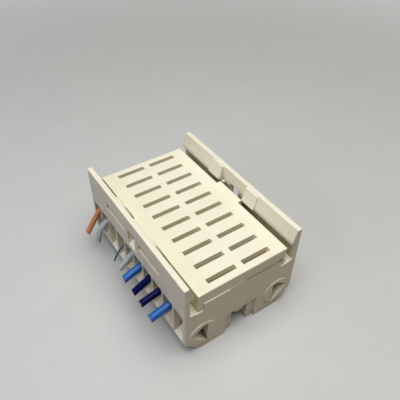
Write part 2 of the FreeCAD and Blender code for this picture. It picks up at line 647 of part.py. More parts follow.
def build_bar(pole):
    """Build the current bar of one pole, lying on the post of its chamber."""
    body = new_body(f"current_bar_{pole:02d}")
    extrude(
        body, "Pad", "Bar", "XZ_Plane", "0", "Sizes.bar_width",
        [box(f"-{BAR_HALF}", BAR_HALF, BAR_UNDERSIDE, BAR_TOP)])
    return place(body, "0", pole_y(pole))


def build_spring(side, turn, pole):
    """Build one clamp spring: a strip that lies on the bar, loops over and hangs past the bar's end."""
    body = new_body(f"clamp_spring_{side}_{pole:02d}")
    path = new_sketch(body, "Path", "XZ_Plane")
    draw_path(path, [
        ((f"-{SPRING_FOOT}", STRIP_LEVEL), ("-Sizes.spring_bend", STRIP_LEVEL)),
        (("-Sizes.spring_bend", SPRING_TOP),
         (f"-({SPRING_REACH} - Sizes.spring_corner_radius)", SPRING_TOP)),
        ((f"-{SPRING_REACH}", f"{SPRING_TOP} - Sizes.spring_corner_radius"),
         (f"-{SPRING_REACH}", SPRING_END)),
    ])
    section = new_sketch(body, "Section", "YZ_Plane", f"-{SPRING_FOOT}")
    strip_top = f"{BAR_TOP} + Sizes.spring_thickness"
    draw_outline(section, box(f"-{SPRING_HALF}", SPRING_HALF, BAR_TOP, strip_top))
    sweep(body, "Strip", section, path)
    window_half = f"({SPRING_HALF} - Sizes.spring_window_side)"
    extrude(
        body, "Pocket", "Window", "YZ_Plane", f"-{SPRING_REACH}", "2 * Sizes.spring_corner_radius",
        [box(f"-{window_half}", window_half, f"{BAR_UNDERSIDE} - Sizes.spring_window_drop",
             f"{BAR_TOP} + Sizes.spring_window_clearance")])
    return place(body, "0", pole_y(pole), turn)


def sweep(body, name, section, path):
    """Sweep a section along a path and check the volume against section times length."""
    pipe = body.newObject("PartDesign::AdditivePipe", name)
    pipe.Profile = section
    pipe.Spine = path
    doc.recompute()
    area = abs(Part.Face(section.Shape.Wires, "Part::FaceMakerBullseye").Area)
    expected = area * path.Shape.Length
    if not math.isclose(pipe.Shape.Volume, expected, rel_tol=0.02):
        raise ValueError(f"{body.Label}: swept volume {pipe.Shape.Volume:.2f}, expected {expected:.2f}")
    return pipe


def build_wire_piece(pole, gauge, piece):
    """Build the sleeve or the conductor of a cut wire, straight from the clamp and then bent down."""
    body = new_body(f"wire_{pole:02d}_{piece}")
    names = ("corner", "radius", "slope", "run", "swing")
    corner, radius, slope, run, swing = (f"Sizes.{wire_alias(pole, name)}" for name in names)
    core = f"Sizes.{gauge}_core"
    level = f"({BAR_UNDERSIDE} - Sizes.core_gap - {core} / 2)"
    tangent = f"({radius} * tan({slope} / 2))"
    start = "Sizes.core_inside" if piece == "core" else "-Sizes.strip_length"
    path = new_sketch(body, "Path", "XZ_Plane")
    draw_path(path, [
        ((start, level), (f"-({corner} - {tangent})", level)),
        ((f"-({corner} + {tangent} * cos({slope}))", f"{level} - {tangent} * sin({slope})"),
         (f"-({corner} + {run} * cos({slope}))", f"{level} - {run} * sin({slope})")),
    ])
    section = new_sketch(body, "Section", "YZ_Plane", start)
    if piece == "core":
        draw_circle(section, ("0", level), core)
    else:
        draw_circle(section, ("0", level), f"Sizes.{gauge}_wire")
        draw_circle(section, ("0", level), f"{core} + 2 * Sizes.sleeve_gap")
    sweep(body, "Strand", section, path)
    return place(body, f"-{SPRING_REACH}", pole_y(pole), swing)


def check(bodies):
    """Stop if any object failed or any sub-part isn't one valid solid."""
    for item in doc.Objects:
        if "Invalid" in item.State or "Error" in item.State:
            raise ValueError(f"{item.Label} failed: {item.State}")
    for body in bodies:
        shape = body.Shape
        if shape.isNull() or not shape.isValid() or len(shape.Solids) != 1:
            raise ValueError(f"{body.Label} isn't one valid solid")


def main():
    """Build every sub-part, check them all and write their files."""
    fill_sheet()
    bodies = [build_housing(), build_cover()]
    for pole in range(1, int(value("Sizes.pole_count")) + 1):
        bodies.append(build_bar(pole))
        bodies.append(build_spring("left", "0", pole))
        bodies.append(build_spring("right", "180", pole))
    for pole, gauge, *_ in wired_poles():
        for piece in ("sleeve", "core"):
            bodies.append(build_wire_piece(pole, gauge, piece))
    doc.recompute()
    check(bodies)
    os.makedirs("parts", exist_ok=True)
    for body in bodies:
        body.Shape.exportStep(f"parts/{body.Label}.step")


main()
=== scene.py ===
"""Looks of the ten-pole terminal block: moulded ivory plastic, sprung clamps and cut wire stubs.

Lengths are metres in the part's own frame: +Z is up, the origin lies on the base in the middle of the
block, the row of poles runs along Y, and the wire stubs leave towards -X.
"""
import logging
import math
from dataclasses import dataclass
from enum import Enum
from typing import Any, Mapping, NamedTuple, Optional, Union

import bpy
import numpy as np
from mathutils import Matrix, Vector


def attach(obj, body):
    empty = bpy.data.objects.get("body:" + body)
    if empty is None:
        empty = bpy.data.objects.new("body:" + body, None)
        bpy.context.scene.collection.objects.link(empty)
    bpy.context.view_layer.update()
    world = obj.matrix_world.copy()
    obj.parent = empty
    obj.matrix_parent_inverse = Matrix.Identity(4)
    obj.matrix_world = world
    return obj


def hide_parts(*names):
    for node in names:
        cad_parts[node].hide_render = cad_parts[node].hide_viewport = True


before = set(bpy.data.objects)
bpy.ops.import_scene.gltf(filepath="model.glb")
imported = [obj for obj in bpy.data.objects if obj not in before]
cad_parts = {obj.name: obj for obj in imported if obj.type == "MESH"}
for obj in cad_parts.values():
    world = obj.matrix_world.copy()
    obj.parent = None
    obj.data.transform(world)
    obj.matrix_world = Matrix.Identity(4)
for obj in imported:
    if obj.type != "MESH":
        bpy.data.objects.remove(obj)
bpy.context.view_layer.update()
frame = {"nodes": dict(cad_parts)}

log = logging.getLogger("terminal_block")

MM = 0.001
BLOCK = "block"
COURSE_MAP = "Course"

Colour = tuple[float, float, float, float]
Place = tuple[float, float, float]
Band = tuple[float, float]
Term = Union["Signal", float]

BLACK: Colour = (0.0, 0.0, 0.0, 1.0)


def srgb(red: int, green: int, blue: int) -> Colour:
    """Turn a display colour into linear light by the usual two-part display curve.

    Args:
        red: Red channel, 0 to 255.
        green: Green channel, 0 to 255.
        blue: Blue channel, 0 to 255.

    Returns:
        The linear colour with full opacity.
    """
    shown = np.array([red, green, blue]) / 255
    linear = np.where(shown <= 0.04045, shown / 12.92, ((shown + 0.055) / 1.055) ** 2.4)
    return (*linear.tolist(), 1.0)


def ease(amount: np.ndarray) -> np.ndarray:
    """Rise smoothly from 0 to 1: three times the square less twice the cube, held beyond both ends.

    Args:
        amount: Numbers, of which only 0 to 1 rise.

    Returns:
        The eased numbers.
    """
    held = np.clip(amount, 0.0, 1.0)
    return held * held * (3 - 2 * held)


@dataclass(frozen=True)
class Pattern:
    """Soft noise: features to the unit, layers of detail, and the weight of each finer layer."""

    scale: float
    detail: float = 2.0
    roughness: float = 0.55


class Signal:
    """One output of a node tree, whose arithmetic adds Math nodes to that tree."""

    def __init__(self, tree: "NodeGraph", socket: bpy.types.NodeSocket) -> None:
        """Keep the tree and the socket."""
        self.tree = tree
        self.socket = socket

    def _math(self, operation: str, *terms: Term) -> "Signal":
        """Return the value of a Math node on some terms."""
        return self.tree.signal("ShaderNodeMath", {"operation": operation}, dict(enumerate(terms)))

    def __add__(self, other: Term) -> "Signal":
        """Return self + other."""
        return self._math("ADD", self, other)

    def __radd__(self, other: Term) -> "Signal":
        """Return other + self."""
        return self._math("ADD", other, self)

    def __sub__(self, other: Term) -> "Signal":
        """Return self - other."""
        return self._math("SUBTRACT", self, other)

    def __rsub__(self, other: Term) -> "Signal":
        """Return other - self."""
        return self._math("SUBTRACT", other, self)

    def __mul__(self, other: Term) -> "Signal":
        """Return self * other."""
        return self._math("MULTIPLY", self, other)

    def __abs__(self) -> "Signal":
        """Return the size of self without its sign."""
        return self._math("ABSOLUTE", self)

    def cosine(self) -> "Signal":
        """Return the cosine of self, in radians."""
        return self._math("COSINE", self)

    def sine(self) -> "Signal":
        """Return the sine of self, in radians."""
        return self._math("SINE", self)

    def either(self, other: Term) -> "Signal":
        """Return the larger of self and other."""
        return self._math("MAXIMUM", self, other)

    def fade(self, start: float, end: float) -> "Signal":
        """Return a smooth step that is 0 at start and 1 at end.

        Args:
            start: Value at which the step is 0. It may be the larger of the two.
            end: Value at which the step is 1.

        Returns:
            The step, held at 0 and 1 beyond its ends.
        """
        rising = start < end
        limits = {"From Min": min(start, end), "From Max": max(start, end)}
        reach = {"To Min": 0.0 if rising else 1.0, "To Max": 1.0 if rising else 0.0}
        settings = {"interpolation_type": "SMOOTHSTEP"}
        return self.tree.signal("ShaderNodeMapRange", settings, {"Value": self, **limits, **reach})


class NodeGraph:
    """The node tree of a material or of the surroundings, built up by calls.

    The colour sockets of a Mix node share their names with others, so they go by number.
    """

    MIX_FACTOR, MIX_LOW, MIX_HIGH, MIX_RESULT = 0, 6, 7, 2

    def __init__(self, tree: bpy.types.NodeTree) -> None:
        """Empty the tree."""
        self.nodes = tree.nodes
        self.links = tree.links
        self.nodes.clear()

    def node(
        self,
        kind: str,
        settings: Optional[Mapping[str, Any]] = None,
        inputs: Optional[Mapping[Any, Any]] = None,
    ) -> bpy.types.Node:
        """Add a node of any type.

        Args:
            kind: Blender's name of the node's type.
            settings: Properties to set first, such as a Math node's operation.
            inputs: Values or links of its sockets, by socket name or number.

        Returns:
            The new node.
        """
        made = self.nodes.new(kind)
        for name, setting in (settings or {}).items():
            setattr(made, name, setting)
        for name, source in (inputs or {}).items():
            self.feed(made.inputs[name], source)
        return made

    def feed(self, socket: bpy.types.NodeSocket, source: Any) -> None:
        """Link a signal or an output to a socket, or set the socket's own value."""
        if isinstance(source, Signal):
            source = source.socket
        if isinstance(source, bpy.types.NodeSocket):
            self.links.new(source, socket)
        else:
            socket.default_value = source

    def signal(
        self,
        kind: str,
        settings: Optional[Mapping[str, Any]] = None,
        inputs: Optional[Mapping[Any, Any]] = None,
        output: Union[int, str] = 0,
    ) -> Signal:
        """Add a node and return one of its outputs.

        Args:
            kind: Blender's name of the node's type.
            settings: Properties to set first.
            inputs: Values or links of its sockets.
            output: Name or number of the wanted output.

        Returns:
            That output.
        """
        return Signal(self, self.node(kind, settings, inputs).outputs[output])

    def place(self) -> Signal:
        """Return the point on the piece, in the part's frame."""
        return self.signal("ShaderNodeTexCoord", output="Object")

    def axes(self, vector: Signal) -> tuple[Signal, Signal, Signal]:
        """Return the three parts of a vector."""
        split = self.node("ShaderNodeSeparateXYZ", {}, {0: vector})
        across, along, up = (Signal(self, output) for output in split.outputs)
        return across, along, up

    def vector(self, across: Term, along: Term, up: Term) -> Signal:
        """Return a vector of three values."""
        return self.signal("ShaderNodeCombineXYZ", {}, {0: across, 1: along, 2: up})

    def noise(self, vector: Signal, pattern: Pattern) -> Signal:
        """Return noise of 0 to 1 in a pattern."""
        shape = {"Scale": pattern.scale, "Detail": pattern.detail, "Roughness": pattern.roughness}
        return self.signal("ShaderNodeTexNoise", {}, {"Vector": vector, **shape})

    def blend(self, amount: Term, low: Any, high: Any) -> Signal:
        """Return a colour that goes from low to high as the amount goes from 0 to 1."""
        inputs = {self.MIX_FACTOR: amount, self.MIX_LOW: low, self.MIX_HIGH: high}
        return self.signal("ShaderNodeMix", {"data_type": "RGBA"}, inputs, self.MIX_RESULT)

    def distance(self, vector: Signal, centre: Signal) -> Signal:
        """Return the distance between two points."""
        return self.signal(
            "ShaderNodeVectorMath", {"operation": "DISTANCE"}, {0: vector, 1: centre}, output="Value")

    def seen(self) -> Signal:
        """Return 1 for rays that look, straight, mirrored or through glass, and 0 for the others."""
        rays = self.node("ShaderNodeLightPath").outputs
        seen = Signal(self, rays["Is Camera Ray"])
        for ray in ("Is Glossy Ray", "Is Transmission Ray"):
            seen = seen.either(Signal(self, rays[ray]))
        return seen


class FinishTree(NodeGraph):
    """The node tree of one material, built round one principled shader."""

    def __init__(self, name: str) -> None:
        """Start an empty material whose shader reaches the surface."""
        self.material = bpy.data.materials.new(name)
        self.material.use_nodes = True
        super().__init__(self.material.node_tree)
        self.shader = self.node("ShaderNodeBsdfPrincipled")
        self.node("ShaderNodeOutputMaterial", {}, {"Surface": self.shader.outputs["BSDF"]})

    def relief(self, height_mm: Signal, normal: Optional[Signal] = None) -> Signal:
        """Return the normal of a surface that is raised by a height in millimetres."""
        inputs: dict[Any, Any] = {"Height": height_mm, "Distance": MM, "Strength": 1.0}
        if normal is not None:
            inputs["Normal"] = normal
        return self.signal("ShaderNodeBump", {}, inputs)

    def finish(self, **sockets: Any) -> bpy.types.Material:
        """Set the shader's sockets, named with underscores for spaces, and return the material."""
        for name, source in sockets.items():
            self.feed(self.shader.inputs[name.replace("_", " ").title().replace("Ior", "IOR")], source)
        return self.material


@dataclass(frozen=True)
class SurfaceMark:
    """A small mark with a ragged edge on a moulded surface, a spot or a streak along X, used for real
    flecks and for painted shade and shadow.
    """

    place: Place
    radius: float
    colour: Colour
    reach: float = 0.0
    edge_band: Band = (1.5, 0.9)

    def strength(self, tree: FinishTree, place: Signal, fleck: Signal) -> Signal:
        """Return how strongly the mark shows, by the distance from its middle line and by flecks.

        The nearest point of the middle line has the point's own X, held between both ends of the line.

        Args:
            tree: The finish's node tree.
            place: The point on the piece.
            fleck: Noise of 0 to 1 that makes the edge ragged.

        Returns:
            1 in the mark and 0 away from it.
        """
        middle, along, up = self.place
        limits = {"Min": middle - self.reach, "Max": middle + self.reach}
        held = tree.signal("ShaderNodeClamp", {}, {"Value": tree.axes(place)[0], **limits})
        ragged = tree.distance(place, tree.vector(held, along, up)) + fleck * self.radius
        outer, inner = (share * self.radius for share in self.edge_band)
        return ragged.fade(outer, inner)


@dataclass(frozen=True)
class MouldedPlastic:
    """Satin ivory plastic out of a mould: pale edges that are partly wear and partly painted highlight,
    slow tone changes, painted shade in sheltered walls.

    A band holds the values at which something starts and is full, and a relief is in millimetres.
    """

    name: str
    tone: Colour = srgb(237, 232, 209)
    yellowed: Colour = srgb(231, 223, 196)
    # Pale edge colour: partly real wear, partly a painted highlight on rounded edges that catch the
    # light.
    edge_wear_and_highlight: Colour = srgb(255, 253, 243)
    # Painted shade: a dark brown laid into sheltered walls, gaps and recesses where shade falls; the
    # mould lines take this colour too.
    shade_and_mould_line_tone: Colour = srgb(76, 64, 38)
    cloud: Pattern = Pattern(65.0, 3.0)
    fleck: Pattern = Pattern(820.0)
    grain: Pattern = Pattern(3600.0)
    yellowed_band: Band = (0.38, 0.72)
    yellowed_share: float = 0.55
    edge_radius: float = 0.32 * MM
    edge_band: Band = (0.98, 0.80)
    edge_wear_and_highlight_band: Band = (0.26, 0.50)
    edge_wear_and_highlight_share: float = 0.90
    shelter_reach: float = 6.0 * MM
    shelter_band: Band = (0.58, 0.12)
    level_band: Band = (0.55, 0.95)
    # Level faces get less painted shade, since the overhead light falls on them.
    lit_level_share: float = 0.85
    painted_shade_share: float = 0.68
    fleck_share: float = 0.25
    mould_lines: tuple[float, ...] = ()
    line_band: Band = (0.16 * MM, 0.04 * MM)
    line_level: float = 34.9 * MM
    line_skin: float = 0.02 * MM
    line_reach: float = 37.0 * MM
    line_end: float = 1.0 * MM
    line_share: float = 0.10
    surface_marks: tuple[SurfaceMark, ...] = ()
    grain_relief: float = 0.006
    cloud_relief: float = 0.05
    line_relief: float = 0.012
    roughness: float = 0.40
    fleck_roughness: float = 0.10
    shelter_roughness: float = 0.15
    ior: float = 1.52
    samples: int = 6

    def edge(self, tree: FinishTree, rounded: Signal) -> Signal:
        """Return 1 at an edge, where the rounded normal turns from the face's own, and 0 elsewhere."""
        face = tree.signal("ShaderNodeNewGeometry", output="Normal")
        turned = tree.signal(
            "ShaderNodeVectorMath", {"operation": "DOT_PRODUCT"}, {0: rounded, 1: face}, "Value")
        return turned.fade(*self.edge_band)

    def sheltered(self, tree: FinishTree) -> Signal:
        """Return the mask of the painted shade: 1 on walls that see little of the open, and less on
        faces that lie level, where overhead light falls.
        """
        reach = {"Distance": self.shelter_reach}
        open_sky = tree.signal("ShaderNodeAmbientOcclusion", {"samples": self.samples}, reach, "AO")
        level = tree.axes(tree.signal("ShaderNodeTexCoord", output="Normal"))[2].fade(*self.level_band)
        return open_sky.fade(*self.shelter_band) * (1.0 - level * self.lit_level_share)

    def lines(self, tree: FinishTree, place: Signal) -> Term:
        """Return the strength of the straight mould lines along Y on the upper face.

        A line lies where the distance from the middle plane is one of the listed ones.

        Args:
            tree: The finish's node tree.
            place: The point on the piece.

        Returns:
            1 on a line and 0 elsewhere.
        """
        strength: Term = 0.0
        across, along, up = tree.axes(place)
        for offset in self.mould_lines:
            strength = abs(abs(across) - offset).fade(*self.line_band) + strength
        on_face = up.fade(self.line_level - self.line_skin, self.line_level)
        return strength * on_face * abs(along).fade(self.line_reach + self.line_end, self.line_reach)

    def material(self) -> bpy.types.Material:
        """Return the plastic: tone, edge wear with painted highlight and painted shade by place, grain
        and mould lines as relief.
        """
        tree = FinishTree(self.name)
        place = tree.place()
        rounded = tree.signal("ShaderNodeBevel", {"samples": self.samples}, {"Radius": self.edge_radius})
        cloud = tree.noise(place, self.cloud)
        fleck = tree.noise(place, self.fleck)
        aged = cloud.fade(*self.yellowed_band) * self.yellowed_share
        colour = tree.blend(aged, self.tone, self.yellowed)
        # Edges turn pale where the flecks allow: partly wear, partly painted highlight.
        edge_wear_and_highlight = self.edge(tree, rounded) * fleck.fade(*self.edge_wear_and_highlight_band) * self.edge_wear_and_highlight_share
        colour = tree.blend(edge_wear_and_highlight, colour, self.edge_wear_and_highlight)
        sheltered = self.sheltered(tree)
        # Painted shade: darken the walls that the occlusion mask finds sheltered, with flecks for a
        # ragged spread.
        painted_shade = sheltered * (self.painted_shade_share + fleck * self.fleck_share)
        colour = tree.blend(painted_shade, colour, self.shade_and_mould_line_tone)
        height = tree.noise(place, self.grain) * self.grain_relief + cloud * self.cloud_relief
        if self.mould_lines:
            line = self.lines(tree, place)
            colour = tree.blend(line * self.line_share, colour, self.shade_and_mould_line_tone)
            height = height + line * self.line_relief
        for mark in self.surface_marks:
            colour = tree.blend(mark.strength(tree, place, fleck), colour, mark.colour)
        return tree.finish(
            base_color=colour,
            roughness=self.roughness + fleck * self.fleck_roughness + sheltered * self.shelter_roughness,
            normal=tree.relief(height, rounded),
            ior=self.ior,
        )


@dataclass(frozen=True)
class SoftSleeve:
    """Smooth coloured wire insulation with fine drawn lines along the wire and a little dust."""

    name: str
    tone: Colour
    deep: Colour
    roughness: float
    dustiness: float = 0.40
    ior: float = 1.42
    dust: Colour = srgb(196, 192, 184)
    round_scale: float = 6.0
    long_scale: float = 90.0
    drawn: Pattern = Pattern(3.0, 3.0)
    mottle: Pattern = Pattern(420.0, 3.0)
    speck: Pattern = Pattern(2600.0, 1.0)
    drawn_band: Band = (0.3, 0.75)
    drawn_share: float = 0.5
    speck_band: Band = (0.66, 0.76)
    mottle_roughness: float = 0.10
    speck_roughness: float = 0.2
    drawn_relief: float = 0.012
    mottle_relief: float = 0.02

    def material(self) -> bpy.types.Material:
        """Return the insulation, whose pattern follows the wire round and along its own map."""
        tree = FinishTree(self.name)
        place = tree.place()
        around, along, _ = tree.axes(tree.signal("ShaderNodeUVMap", {"uv_map": COURSE_MAP}))
        angle = around * math.tau
        course = tree.vector(
            angle.cosine() * self.round_scale, angle.sine() * self.round_scale, along * self.long_scale)
        drawn = tree.noise(course, self.drawn)
        mottle = tree.noise(place, self.mottle)
        speck = tree.noise(place, self.speck).fade(*self.speck_band)
        colour = tree.blend(drawn.fade(*self.drawn_band) * self.drawn_share, self.tone, self.deep)
        colour = tree.blend(speck * mottle * self.dustiness, colour, self.dust)
        return tree.finish(
            base_color=colour,
            roughness=self.roughness + mottle * self.mottle_roughness + speck * self.speck_roughness,
            normal=tree.relief(drawn * self.drawn_relief + mottle * self.mottle_relief),
            ior=self.ior,
        )


@dataclass(frozen=True)
class DrawnMetal:
    """Bare metal with fine lines along the way it was drawn or rolled, and a slow tarnish."""

    name: str
    tone: Colour
    tarnish: Colour
    stretch: Place
    roughness: float
    fibre: Pattern = Pattern(1.0)
    patch: Pattern = Pattern(260.0, 3.0)
    patch_band: Band = (0.42, 0.70)
    patch_share: float = 0.6
    fibre_share: float = 0.2
    fibre_roughness: float = 0.12
    patch_roughness: float = 0.15
    fibre_relief: float = 0.004

    def material(self) -> bpy.types.Material:
        """Return the metal, whose lines are noise that is stretched along the drawing."""
        tree = FinishTree(self.name)
        place = tree.place()
        across, along, up = tree.axes(place)
        wide, long, high = self.stretch
        fibre = tree.noise(tree.vector(across * wide, along * long, up * high), self.fibre)
        patch = tree.noise(place, self.patch).fade(*self.patch_band)
        tarnished = patch * self.patch_share + fibre * self.fibre_share
        return tree.finish(
            base_color=tree.blend(tarnished, self.tone, self.tarnish),
            roughness=self.roughness + fibre * self.fibre_roughness + patch * self.patch_roughness,
            normal=tree.relief(fibre * self.fibre_relief),
            metallic=1.0,
        )


def dress(piece: bpy.types.Object, material: bpy.types.Material) -> None:
    """Give every material slot of a piece one material.

    Args:
        piece: A new piece or a CAD node's object.
        material: The material that it gets.
    """
    if not piece.material_slots:
        piece.data.materials.append(material)
    for slot in piece.material_slots:
        slot.material = material


def grid_faces(rows: int, columns: int, closed: bool) -> np.ndarray:
    """Join a grid of points whose columns run round: (i, j), (i, j + 1), (i + 1, j + 1), (i + 1, j).

    Args:
        rows: Rows of the grid.
        columns: Points in a row, the last of which is next to the first.
        closed: Whether the last row is next to the first as well.

    Returns:
        The corner numbers of each face, four to a line.
    """
    joined = rows if closed else rows - 1
    row, column = np.meshgrid(np.arange(joined), np.arange(columns), indexing="ij")
    first = row * columns
    second = (row + 1) % rows * columns
    beside = (column + 1) % columns
    corners = [first + column, first + beside, second + beside, second + column]
    return np.stack(corners, axis=-1).reshape(-1, 4)


def make_piece(name: str, points: np.ndarray, faces: list[list[int]]) -> bpy.types.Object:
    """Put points and faces into a smooth mesh object at the origin.

    Args:
        name: Name of the piece.
        points: Places of the corners, three numbers each.
        faces: Corner numbers of each face.

    Returns:
        The object, linked to the scene.
    """
    mesh = bpy.data.meshes.new(name)
    mesh.from_pydata(points.reshape(-1, 3).tolist(), [], faces)
    mesh.polygons.foreach_set("use_smooth", np.ones(len(mesh.polygons), dtype=bool))
    mesh.update()
    piece = bpy.data.objects.new(name, mesh)
    bpy.context.scene.collection.objects.link(piece)
    return piece


class Gauge(Enum):
    """Wire gauges: sleeve diameter, conductor diameter, rings of strands round the middle strand."""

    THICK = (3.5 * MM, 2.0 * MM, 2)
    MIDDLE = (3.0 * MM, 1.6 * MM, 2)
    SLIM = (2.6 * MM, 1.2 * MM, 2)
    THIN = (1.1 * MM, 0.6 * MM, 1)

    @property
    def sleeve_radius(self) -> float:
        """Return the outer radius of the sleeve."""
        return self.value[0] / 2

    @property
    def core_radius(self) -> float:
        """Return the radius of the conductor."""
        return self.value[1] / 2

    @property
    def rings(self) -> int:
        """Return the number of rings of strands."""
        return self.value[2]


class Tint(Enum):
    """Insulation colours, each with its finish."""

    ORANGE = SoftSleeve("orange_insulation", srgb(214, 143, 99), srgb(174, 106, 65), 0.32)
    GREY = SoftSleeve("grey_insulation", srgb(181, 190, 195), srgb(157, 168, 175), 0.32)
    TEAL = SoftSleeve("teal_insulation", srgb(36, 86, 108), srgb(20, 58, 78), 0.30, 0.25)
    LIGHT_BLUE = SoftSleeve("light_blue_insulation", srgb(20, 98, 178), srgb(13, 78, 151), 0.24, 0.20)
    DARK_BLUE = SoftSleeve("dark_blue_insulation", srgb(1, 8, 76), srgb(0, 4, 50), 0.22, 0.06, 1.18)

    @property
    def slot(self) -> str:
        """Return the record's material slot of this colour."""
        return f"sleeve_{self.name.lower()}"


@dataclass(frozen=True)
class WireDetail:
    """Sizes and counts that all the cut wires share."""

    spring_reach: float = 16.4 * MM
    bar_underside: float = 21.6 * MM
    core_gap: float = 0.1 * MM
    sleeve_gap: float = 0.05 * MM
    core_inside: float = 2.4 * MM
    strip_length: float = 2.1 * MM
    pole_pitch: float = 8.0 * MM
    pole_count: int = 10
    bend_span: float = 1.2
    bend_samples: int = 400
    course_samples: int = 900
    inner_margin: float = 1.0 * MM
    outer_margin: float = 2.0 * MM
    cut_reach: float = 6.0
    press_length: float = 1.2 * MM
    flattening: float = 0.09
    widening: float = 0.05
    rim_radius: float = 0.12 * MM
    rims_to_wall: float = 3.0
    rim_samples: int = 5
    outside_rows: int = 70
    inside_rows: int = 30
    sleeve_columns: int = 36
    wave_share: float = 0.006
    wave_number: float = 900.0
    wave_fade: float = 3.0 * MM
    ring_strands: int = 6
    strand_lay: float = 26.0 * MM
    strand_fill: float = 0.98
    strand_rows: int = 64
    strand_columns: int = 8
    strand_overhang: float = 0.05 * MM
    strand_spread: float = 0.09 * MM


class Course(NamedTuple):
    """A wire's middle line in its upright plane, and the length at which the wire is cut.

    Lengths and places are taken from the spring outwards, and headings are radians below level.
    """

    length: np.ndarray
    out: np.ndarray
    up: np.ndarray
    heading: np.ndarray
    end: float


@dataclass(frozen=True)
class CutWire:
    """One cut wire stub: an insulating sleeve with a cut end, and the stranded conductor inside it.

    The wire leaves its spring level, bends by the slope at the corner, and runs on to the cut. The
    slope, the swing about the spring and the slant of the cut are in degrees.
    """

    pole: int
    gauge: Gauge
    tint: Tint
    corner: float
    bend_radius: float
    slope: float
    run: float
    cut: float
    swing: float = 0.0
    detail: WireDetail = WireDetail()

    @property
    def prefix(self) -> str:
        """Return the start of this wire's names."""
        return f"wire_{self.pole:02d}"

    def course(self) -> Course:
        """Work out the middle line in the upright plane of the wire.

        The heading eases from level to the slope over a little more than the bend's arc, and the place
        is the running sum of the heading. The bend starts where its straight runs meet at the corner.

        Returns:
            The line, from inside the spring to beyond the cut end.
        """
        detail = self.detail
        turn = math.radians(self.slope)
        span = detail.bend_span * self.bend_radius * turn
        headings = turn * ease((np.arange(detail.bend_samples) + 0.5) / detail.bend_samples)
        tangent = span * float(np.mean(np.cos(headings)) - np.mean(np.sin(headings)) / math.tan(turn))
        start = self.corner - tangent
        end = start + span + self.run - tangent
        length = np.linspace(
            -detail.core_inside - detail.inner_margin, end + detail.outer_margin, detail.course_samples)
        heading = turn * ease((length - start) / span)
        stride = length[1] - length[0]
        out = length[0] + np.concatenate([[0.0], np.cumsum(np.cos(heading[:-1]) * stride)])
        down = np.concatenate([[0.0], np.cumsum(np.sin(heading[:-1]) * stride)])
        return Course(length, out, -down, heading, end)

    def carry(self, length: np.ndarray, rise: np.ndarray, side: np.ndarray) -> np.ndarray:
        """Carry points of a cross-section along the wire.

        A point goes to the middle line's place at its length, plus its rise along the upright normal
        there and its side along Y. Near the cut end the length is less by the rise times the tangent of
        the cut's slant, and the section is pressed flatter and wider. The plane is then swung about the
        spring.

        Args:
            length: Length of each point along the wire.
            rise: Height of each point in its cross-section.
            side: Sideways place of each point in its cross-section.

        Returns:
            The points in the part's frame.
        """
        detail = self.detail
        course = self.course()
        ahead = course.end - length
        near_cut = ease(1 - ahead / (detail.cut_reach * self.gauge.sleeve_radius))
        pressed = ease(1 - ahead / detail.press_length)
        rise = rise * (1 - detail.flattening * pressed)
        side = side * (1 + detail.widening * pressed)
        length = length - near_cut * rise * math.tan(math.radians(self.cut))
        angle = np.interp(length, course.length, course.heading)
        outward = np.interp(length, course.length, course.out) + rise * np.sin(angle)
        level = detail.bar_underside - detail.core_gap - self.gauge.core_radius
        height = level + np.interp(length, course.length, course.up) + rise * np.cos(angle)
        swing = math.radians(self.swing)
        across = -detail.spring_reach - outward * math.cos(swing) + side * math.sin(swing)
        middle = ((detail.pole_count + 1) / 2 - self.pole) * detail.pole_pitch
        along = middle - outward * math.sin(swing) + side * math.cos(swing)
        return np.stack(np.broadcast_arrays(across, along, height), axis=-1)

    def sleeve(self) -> bpy.types.Object:
        """Build the sleeve: one closed profile of length and radius, carried round the middle line.

        The profile runs along the outside to the cut end, over a small rounded rim, back along the bore
        and out again, and the outer radius waves by less than a hundredth along the wire.

        Returns:
            The sleeve's object, with a map of turns round the wire and metres along it.
        """
        detail = self.detail
        end = self.course().end
        outer = self.gauge.sleeve_radius
        bore = self.gauge.core_radius + detail.sleeve_gap
        rim = min(detail.rim_radius, (outer - bore) / detail.rims_to_wall)
        quarter = np.linspace(0.0, math.pi / 2, detail.rim_samples)
        outside = np.linspace(detail.strip_length, end - rim, detail.outside_rows)
        inside = np.linspace(end - rim, detail.strip_length, detail.inside_rows)
        fading = ease((end - outside) / detail.wave_fade)
        wave = 1 + detail.wave_share * np.sin(outside * detail.wave_number + self.pole) * fading
        lengths = np.concatenate([
            outside,
            end - rim + rim * np.sin(quarter[1:]),
            end - rim + rim * np.cos(quarter[:-1]),
            inside,
        ])
        radii = np.concatenate([
            outer * wave,
            outer - rim + rim * np.cos(quarter[1:]),
            bore + rim - rim * np.sin(quarter[:-1]),
            np.full(len(inside), bore),
        ])[:, None]
        rows, columns = len(lengths), detail.sleeve_columns
        angle = np.arange(columns) * math.tau / columns
        points = self.carry(lengths[:, None], radii * np.cos(angle), radii * np.sin(angle))
        piece = make_piece(f"{self.prefix}_cut_sleeve", points, grid_faces(rows, columns, True).tolist())
        row, column = np.meshgrid(np.arange(rows), np.arange(columns), indexing="ij")
        turns = np.stack([column, column + 1, column + 1, column], axis=-1) / columns
        following = np.roll(lengths, -1)
        along = np.stack([lengths[row], lengths[row], following[row], following[row]], axis=-1)
        course_map = piece.data.uv_layers.new(name=COURSE_MAP)
        course_map.data.foreach_set("uv", np.stack([turns, along], axis=-1).ravel())
        return piece

